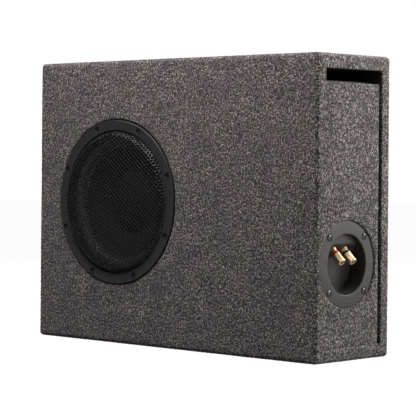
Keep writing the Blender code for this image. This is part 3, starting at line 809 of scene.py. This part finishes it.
def paper_shell(name, front, thick):
    """A sheet of paper turned about the woofer's axis, from the outline of its front."""
    back = [(r, z - thick) for r, z in reversed(front)]
    return turned(name, WOOFER, front + back, 128)


def cone(pulp):
    radii = [CONE_RIM_R - 3.95 * k for k in range(14)] + [CONE_NECK_R]
    piece = paper_shell("cone_pulp", [(r, -cone_depth(r)) for r in radii], thick=0.8)
    finish_piece(piece, pulp, "cone", ["woofer_cone"])


def dust_cap(pulp):
    rise, rows, seat = 9.0, 12, cone_depth(CAP_R) - 1.4
    dome = [(CAP_R * k / rows, rise * (1 - (k / rows) ** 2) - seat) for k in range(rows, -1, -1)]
    piece = paper_shell("dust_cap_pulp", dome, thick=0.7)
    finish_piece(piece, pulp, "cone", ["woofer_dust_cap"])


def tube(name, points, radius, sides=10):
    """A round tube through points in metres, with closed ends."""
    rings, faces = [], []
    side = Vector((0, 0, 1))
    for k, here in enumerate(points):
        ahead = (points[min(k + 1, len(points) - 1)] - points[max(k - 1, 0)]).normalized()
        across = (side - ahead * ahead.dot(side)).normalized()
        up = ahead.cross(across)
        for n in range(sides):
            a = math.tau * n / sides
            rings.append(here + (across * math.cos(a) + up * math.sin(a)) * radius)
    for k in range(len(points) - 1):
        for n in range(sides):
            here, beside = k * sides + n, k * sides + (n + 1) % sides
            faces.append((here, beside, beside + sides, here + sides))
    last = (len(points) - 1) * sides
    faces += [tuple(range(sides)), tuple(last + n for n in reversed(range(sides)))]
    return new_object(name, rings, faces)


def tinsel_leads():
    """Braided leads with some slack, from the terminal board to the cone."""
    braid = metal_paint("copper_braid", (0.74, 0.33, 0.17), 0.35, stretch=(1, 9, 1))
    for colour, side in (("red", 1), ("black", -1)):
        corners = [(60, 6, -46.6), (63, 6.5, -42), (59, 7, -36.5), (49, 8, -37), (40, 9, -32.3)]
        route = [Vector((x, side * y, z)) * MM for x, y, z in corners]
        for _ in range(3):  # each round cuts the corners off
            eased = [route[0]]
            for a, b in zip(route, route[1:]):
                eased += [a.lerp(b, 0.25), a.lerp(b, 0.75)]
            route = [*eased, route[-1]]
        piece = tube(f"tinsel_{colour}", [WOOFER @ p for p in route], 0.8 * MM)
        piece.data.materials.append(braid)
        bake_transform(piece)
        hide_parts(f"tinsel_lead_{colour}")


PITCH, HOLE_R = 4.9, 1.95
SHEET = 0.9
DOME_R, DOME_TOP, DOME_DROP = 83.5, 12.8, 1.6
SHOULDER_R, SLOPE, WALL_LENGTH, FOOT_R = 4.2, math.radians(55), 6.35, 1.2
FLANGE_REACH = 2.5


def pressed(distance):
    """(radius, height) of a point of the flat sheet, this far from its middle, once pressed."""
    if distance <= DOME_R:
        return distance, DOME_TOP - DOME_DROP * (distance / DOME_R) ** 2
    left, radius, high = distance - DOME_R, DOME_R, DOME_TOP - DOME_DROP
    turn = min(left / SHOULDER_R, SLOPE)
    radius += SHOULDER_R * math.sin(turn)
    high -= SHOULDER_R * (1 - math.cos(turn))
    left -= SHOULDER_R * SLOPE
    if left <= 0:
        return radius, high
    run = min(left, WALL_LENGTH)
    radius += run * math.cos(SLOPE)
    high -= run * math.sin(SLOPE)
    left -= WALL_LENGTH
    if left <= 0:
        return radius, high
    turn = min(left / FOOT_R, SLOPE)
    radius += FOOT_R * (math.sin(SLOPE) - math.sin(SLOPE - turn))
    high -= FOOT_R * (math.cos(SLOPE - turn) - math.cos(SLOPE))
    return radius + max(0.0, left - FOOT_R * SLOPE), high


def grille():
    """Perforated steel dome: a hexagonal lattice of round holes, pressed over its rim."""
    first, sides = FIRST_SCREW, 12
    along = Vector((math.cos(first), math.sin(first))) * PITCH
    across = Vector((math.cos(first + math.pi / 3), math.sin(first + math.pi / 3))) * PITCH
    reach = DOME_R + (SHOULDER_R + FOOT_R) * SLOPE + WALL_LENGTH + FLANGE_REACH
    cell_r = PITCH / math.sqrt(3)
    count = math.ceil(reach / (PITCH * math.cos(math.pi / 6))) + 1
    points, faces = [], []
    for i in range(-count, count + 1):
        for j in range(-count, count + 1):
            middle = along * i + across * j
            if middle.length > reach - cell_r:
                continue
            start = len(points)
            for k in range(sides):
                a = first + math.tau * k / sides
                spoke = Vector((math.cos(a), math.sin(a)))
                # even spokes meet the middle of a side of the cell, and odd ones its corner
                for radius in (PITCH / 2 if k % 2 == 0 else cell_r, HOLE_R):
                    flat = middle + spoke * radius
                    r, high = pressed(flat.length)
                    spot = flat.normalized() * r if flat.length > 1e-6 else flat
                    points.append(WOOFER @ (Vector((spot.x, spot.y, high)) * MM))
            for k in range(sides):
                n = (k + 1) % sides
                faces.append((start + 2 * k, start + 2 * n, start + 2 * n + 1, start + 2 * k + 1))
    mesh = bpy.data.meshes.new("grille_perforated")
    mesh.from_pydata(points, [], faces)
    work = bmesh.new()
    work.from_mesh(mesh)
    bmesh.ops.remove_doubles(work, verts=work.verts, dist=0.02 * MM)
    bmesh.ops.recalc_face_normals(work, faces=work.faces)
    if sum(f.normal.y * f.calc_area() for f in work.faces) > 0:
        bmesh.ops.reverse_faces(work, faces=work.faces)
    work.to_mesh(mesh)
    work.free()
    obj = bpy.data.objects.new("grille_perforated", mesh)
    bpy.context.scene.collection.objects.link(obj)
    sheet = obj.modifiers.new("sheet", "SOLIDIFY")
    sheet.thickness = SHEET * MM
    sheet.offset = -1
    mesh.shade_smooth()
    mesh.set_sharp_from_angle(angle=math.radians(50))
    coat = coat_paint("grille_powder_coat", grey(0.0075), 0.17, gloss=0.2)
    finish_piece(obj, coat, stands_for=["grille"])


# --- Terminal cup ---------------------------------------------------------------------------------

CUP_DEPTH, CUP_WALL, MOUTH_R, FLOOR_R = 23.0, 2.4, 36.1, 33.9
FLANGE, FLANGE_FALL = 2.2, 0.5
BROW_Z, BROW_DEPTH = 24.0, 6.8
CUP_SCREWS, CUP_SCREW_R, CUP_SEAT_FLOOR = 4, 45.8, -1.0


def cup_screw_places(height):
    angles = (math.tau * (k + 0.5) / CUP_SCREWS for k in range(CUP_SCREWS))
    return [spun(CUP, angle, CUP_SCREW_R, height) for angle in angles]


def recess_depth(y, height):
    """The recess's floor under a point: the bowl, filled in by the brow and the sloping plate."""
    plate = -BROW_DEPTH - max(0.0, BROW_Z - y)
    blend = 1.4
    gap = (plate - height) / blend
    if gap > 1:
        return plate
    if gap < -1:
        return height
    return max(plate, height) + blend * (1 - abs(gap)) ** 2 / 4


def terminal_cup():
    flat_r, lip, face_r, rows, wall_rows = FLOOR_R - 3.0, -1.2, MOUTH_R + 3, 26, 24
    bowl = [(flat_r * (k / rows), -CUP_DEPTH) for k in range(rows + 1)]
    foot = softened([(flat_r, -CUP_DEPTH, 0), (FLOOR_R, -CUP_DEPTH, 0.6), (MOUTH_R, 0, 0)], 6)[1:-1]
    low, high = Vector(foot[-1]), Vector((MOUTH_R - 0.15, lip))
    wall = [tuple(low.lerp(high, k / wall_rows)) for k in range(1, wall_rows + 1)]
    mouth = softened([(MOUTH_R - 0.1, lip, 0), (MOUTH_R, 0, 1.1), (face_r, 0, 0)], 5)[1:]
    rim = softened(
        [
            (face_r, 0, 0),
            (CUP_R / MM, -FLANGE_FALL, 1.0),
            (CUP_R / MM, -FLANGE, 0),
            (MOUTH_R + CUP_WALL, -FLANGE, 0),
            (FLOOR_R + CUP_WALL, -CUP_DEPTH - CUP_WALL, 0),
            (0, -CUP_DEPTH - CUP_WALL, 0),
        ],
        5,
    )[1:]

    def fill(x, y, height):
        if math.hypot(x, y) < MOUTH_R and -CUP_DEPTH <= height:
            return x, y, min(recess_depth(y, height), max(height, lip))
        return x, y, height

    cup = turned("terminal_cup_moulding", CUP, bowl + foot + wall + mouth + rim, 180, fill, 50)
    hole_r, hole_floor, clear = 2.3, -4, 0.4
    hole = [(0, hole_floor), (hole_r, hole_floor), (hole_r, 0), (0, 0)]
    seat = [(0, CUP_SEAT_FLOOR), (4.8, CUP_SEAT_FLOOR), (4.95, clear), (0, clear)]
    cutters = []
    for place in cup_screw_places(0):
        cutters.append(turned("hole", place, hole, 24))
        cutters.append(turned("seat", place, seat, 32))
    carve(cup, cutters, smooth_deg=50)
    plastic = plastic_paint("cup_plastic_satin", (0.031, 0.030, 0.0275), 0.45)
    finish_piece(cup, plastic, stands_for=["terminal_cup"])


def cup_screws(material):
    mesh = screw_blank("cup_screw", head_r=4.0, head_high=2.2, shank_r=1.8, length=13)
    places = cup_screw_places(CUP_SEAT_FLOOR + 0.1)
    screw_copies("cup_pan_screw", mesh, material, places, "cup_screw", turn_step=0.9)


POST_R = 5.2
POST_RING = (4.95, 7.4)  # heights along the post
POST_CAP = (7.65, 21.0)


def post_frame(colour):
    """The post's frame: +Z points along it, out of the sloping plate, and z 0 is on the plate."""
    middle = size_and_middle(f"{colour}_post_ring")[1]
    out = Vector((1, 0, -1)).normalized()
    return frame_at(middle - out * (sum(POST_RING) / 2) * MM, out, (0, 1, 0))


def knurled(name, place, start, stop, radius):
    """Screw cap: a knurled sleeve with a polished collar at its open end, bored through."""
    teeth, depth, bore, mouth_r, mouth_deep = 34, 0.1, 3.15, 2.8, 1.3
    band_r, knurl_r = radius - 0.15, radius - 0.4
    knurl_low, knurl_high = start + 1.25, stop - 3.6
    teeth_low, teeth_high = start + 1.3, stop - 3.7
    before = [(bore, start, 0), (band_r, start, 0.4), (band_r, start + 1.0, 0.15)]
    after = [
        (radius - 0.05, stop - 3.2, 0.2),
        (radius + 0.1, stop - 0.9, 0.7),
        (radius - 0.9, stop, 0.3),
        (mouth_r + 0.3, stop, 0.2),
        (mouth_r, stop - mouth_deep, 0.2),
        (bore, stop - mouth_deep, 0),
    ]
    knurl = [(knurl_r, knurl_low, 0.1), (knurl_r, knurl_high, 0.1)]
    rows = softened([*before, *knurl, *after], 3)

    def teeth_on(x, y, z):
        r = math.hypot(x, y)
        if r > radius - 0.75 and teeth_low <= z <= teeth_high:
            wave = abs(((math.atan2(y, x) / math.tau * teeth) % 1) - 0.5) * 2
            share = 1 + depth * (wave - 0.3) / r
            return x * share, y * share, z
        return x, y, z

    outline = []  # with extra rows along the knurl, so that only its ends taper
    for a, b in zip(rows, rows[1:] + rows[:1]):
        outline.append(a)
        if abs(a[0] - b[0]) < 0.02 and b[1] - a[1] > 2 and a[0] > radius - 1:
            outline += [(a[0], a[1] + (b[1] - a[1]) * k / 5) for k in range(1, 5)]
    return turned(name, place, outline, teeth * 6, teeth_on, 35)


def post_ring(name, place):
    """The coloured ring that the cap clamps down."""
    bore, (low, high) = 3.3, POST_RING
    outline = [(bore, low, 0.1), (POST_R, low, 0.35), (POST_R, high, 0.35), (bore, high, 0.1)]
    return turned(name, place, softened(outline, 4), 64)


def post_stud(name, place):
    """Stud: a tail through the plate, a foot, a collar, and a sleeve bored for a plug."""
    tail_r, foot_r, collar_r, sleeve_r, jack_r = 2.0, 4.9, 4.3, 3.0, 2.5
    tail_end, plate, tip, jack_floor = -13, 0.1, 15.0, 9.5
    outline = softened(
        [
            (0, tail_end, 0),
            (tail_r, tail_end, 0.3),
            (tail_r, plate, 0),
            (foot_r, plate, 0.3),
            (foot_r, 1.2, 0.3),
            (collar_r, 1.5, 0.1),
            (collar_r, 4.2, 0.5),
            (sleeve_r, 4.7, 0),
            (sleeve_r, tip, 0.4),
            (jack_r, tip, 0.2),
            (jack_r, jack_floor, 0),
            (0, jack_floor, 0),
        ],
        3,
    )
    return turned(name, place, outline, 64)


def binding_posts():
    gold = metal_paint("gold_plating", (0.88, 0.68, 0.42), 0.28, depth=0.03)
    colours = {
        "red": plastic_paint("post_red_plastic", (0.78, 0.075, 0.02), 0.3, depth=0.1),
        "black": plastic_paint("post_black_plastic", grey(0.012), 0.3, depth=0.1),
    }
    for colour, plastic in colours.items():
        place = post_frame(colour)
        cap = knurled(f"{colour}_cap_knurled", place, *POST_CAP, POST_R)
        finish_piece(cap, gold, f"{colour}_cap", [f"{colour}_post_cap"])
        ring = post_ring(f"{colour}_ring_moulding", place)
        finish_piece(ring, plastic, f"{colour}_ring", [f"{colour}_post_ring"])
        stud = post_stud(f"{colour}_stud_turned", place)
        finish_piece(stud, gold, BODY, [f"{colour}_post_stud"])


# --- Finishes on the CAD pieces that stay ---------------------------------------------------------


def paint_nodes(material, *nodes):
    """Gives CAD pieces a finish and leaves their shape."""
    for node in nodes:
        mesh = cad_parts[node].data
        mesh.materials.clear()
        mesh.materials.append(material)


def inner_finishes():
    paint_nodes(
        mdf_paint(),
        *("front_baffle", "back_panel", "top_panel", "bottom_panel"),
        *("left_end_panel", "right_end_panel", "port_shelf"),
    )
    paint_nodes(coat_paint("basket_powder_coat", grey(0.01), 0.45), "woofer_basket")
    foam = plastic_paint("gasket_foam_black", grey(0.012), 0.9, grain_mm=1.0, depth=0.8)
    paint_nodes(foam, "woofer_gasket")
    zinc = metal_paint("zinc_plate", (0.62, 0.63, 0.64), 0.35)
    paint_nodes(zinc, "magnet_top_plate", "magnet_yoke")
    paint_nodes(ferrite_paint(), "magnet_ring")
    paint_nodes(metal_paint("former_foil", (0.78, 0.78, 0.79), 0.3), "voice_coil_former")
    paint_nodes(
        metal_paint("copper_wire", (0.74, 0.33, 0.17), 0.35, stretch=(1, 9, 1)),
        "voice_coil",
    )
    paint_nodes(
        metal_paint("tinned_metal", (0.7, 0.69, 0.66), 0.3),
        *("red_post_lug", "black_post_lug", "red_spade", "black_spade"),
    )
    paint_nodes(metal_paint("nut_gold", (0.83, 0.62, 0.3), 0.28), "red_post_nut", "black_post_nut")
    paint_nodes(plastic_paint("fibre_board", (0.24, 0.15, 0.08), 0.7), "woofer_terminal_board")
    paint_nodes(plastic_paint("red_jacket_pvc", (0.42, 0.025, 0.015), 0.45), "red_wire")
    paint_nodes(plastic_paint("black_jacket_pvc", grey(0.02), 0.45), "black_wire")


# --- Camera, lights and floor ---------------------------------------------------------------------

CAMERA_AT = (1.5526, -1.6555, 0.2367)
YAW, PITCH_UP, ROLL = 0.7525, 0.0039, 0.0088
LENS, SHIFT_Y = 153.9, -0.134


def camera():
    data = bpy.data.cameras.new("camera")
    data.sensor_width = 36
    data.lens = LENS
    data.shift_y = SHIFT_Y
    obj = bpy.data.objects.new("camera", data)
    bpy.context.scene.collection.objects.link(obj)
    level = Vector((-math.sin(YAW), math.cos(YAW), 0))
    ahead = level * math.cos(PITCH_UP) + Vector((0, 0, math.sin(PITCH_UP)))
    right = Vector((math.cos(YAW), math.sin(YAW), 0))
    up = right.cross(ahead)
    right, up = (
        right * math.cos(ROLL) + up * math.sin(ROLL),
        up * math.cos(ROLL) - right * math.sin(ROLL),
    )
    turn = Matrix((right, up, -ahead)).transposed().to_4x4()
    obj.matrix_world = Matrix.Translation(CAMERA_AT) @ turn
    bpy.context.scene.camera = obj


def soft_light(name, place, target, size, watts, tint=(1, 1, 1), shine_only=False):
    """A rectangular light out of the camera's sight. With shine_only it shows in gloss alone."""
    data = bpy.data.lights.new(name, "AREA")
    data.shape = "RECTANGLE"
    data.size, data.size_y = size
    data.energy = watts
    data.color = tint
    obj = bpy.data.objects.new(name, data)
    bpy.context.scene.collection.objects.link(obj)
    obj.visible_camera = False
    obj.visible_diffuse = not shine_only
    obj.location = place
    obj.rotation_euler = (Vector(target) - Vector(place)).to_track_quat("-Z", "Y").to_euler()


WORLD_GLOW = 0.07
FLOOR_SEEN, FLOOR_MIRRORED = 0.96, 0.35  # the floor's glow for the camera and in reflections
FLOOR_HALF = 6.0
FLOOR_DROP = 0.9 * MM  # keeps the floor clear of the pile under the box


def white_world():
    """White for the camera, and a faint glow for everything else."""
    scene = bpy.context.scene
    scene.view_settings.view_transform = "Standard"
    world = bpy.data.worlds.new("studio")
    world.use_nodes = True
    nodes, links = world.node_tree.nodes, world.node_tree.links
    seen, lit = nodes["Background"], nodes.new("ShaderNodeBackground")
    seen.inputs["Color"].default_value = (1, 1, 1, 1)
    lit.inputs["Strength"].default_value = WORLD_GLOW
    mixed, rays = nodes.new("ShaderNodeMixShader"), nodes.new("ShaderNodeLightPath")
    links.new(rays.outputs["Is Camera Ray"], mixed.inputs["Fac"])
    links.new(lit.outputs["Background"], mixed.inputs[1])
    links.new(seen.outputs["Background"], mixed.inputs[2])
    links.new(mixed.outputs["Shader"], nodes["World Output"].inputs["Surface"])
    scene.world = world


def lights():
    right_end, before_box, grille_top = (0.24, 0, 0.12), (0.05, -0.3, 0), (-0.08, -0.08, 0.26)
    warm, rosy = (1, 0.97, 0.92), (1, 0.95, 0.985)
    soft_light("right_softbox", (0.55, 0.45, 0.6), (0.2, 0, 0.15), (0.3, 0.3), 5.5)
    soft_light("left_fill", (-1.3, 0.6, 0.8), (-0.2, 0.05, 0.15), (0.6, 0.6), 16)
    soft_light("side_card", (1.3, 0.13, 0.17), right_end, (0.3, 0.3), 2.5)
    soft_light("back_card", (1.3, 1.2, 0.5), right_end, (1.5, 1.0), 11, warm)
    soft_light("overhead_softbox", (0.1, -0.46, 1.13), before_box, (0.36, 0.45), 16.6, rosy)
    soft_light("top_shine_card", (-0.5, -0.4, 1.13), grille_top, (0.7, 0.25), 10, shine_only=True)
    soft_light("front_shine_card", (0.55, -0.95, 0.72), grille_top, (0.2, 0.5), 3, shine_only=True)


def white_floor():
    signs = ((-1, -1), (1, -1), (1, 1), (-1, 1))
    corners = [(x * FLOOR_HALF, y * FLOOR_HALF, 0) for x, y in signs]
    floor = new_object("floor", corners, [(0, 1, 2, 3)])
    p = Paint("floor_paint", grey(0.06), 0.9, Emission_Color=(1, 1, 1, 1))
    rays = p.node("ShaderNodeLightPath").outputs
    seen = p.math("MULTIPLY", rays["Is Camera Ray"], FLOOR_SEEN)
    mirrored = p.math("MULTIPLY", rays["Is Glossy Ray"], FLOOR_MIRRORED)
    p.feed(p.shader.inputs["Emission Strength"], p.math("ADD", seen, mirrored))
    floor.data.materials.append(p.material)
    floor.location.z = CAD_BOX[0].z - FLOOR_DROP


# --- Making it ------------------------------------------------------------------------------------

camera()
white_world()
lights()
white_floor()
carpets()
trim_ring()
woofer_screws(coat_paint("black_oxide_steel", grey(0.02), 0.3, metallic=0.5))
grille()
surround()
spider()
pulp = paper_paint()
cone(pulp)
dust_cap(pulp)
tinsel_leads()
terminal_cup()
cup_screws(coat_paint("black_nickel_steel", grey(0.11), 0.25, metallic=1.0))
binding_posts()
inner_finishes()
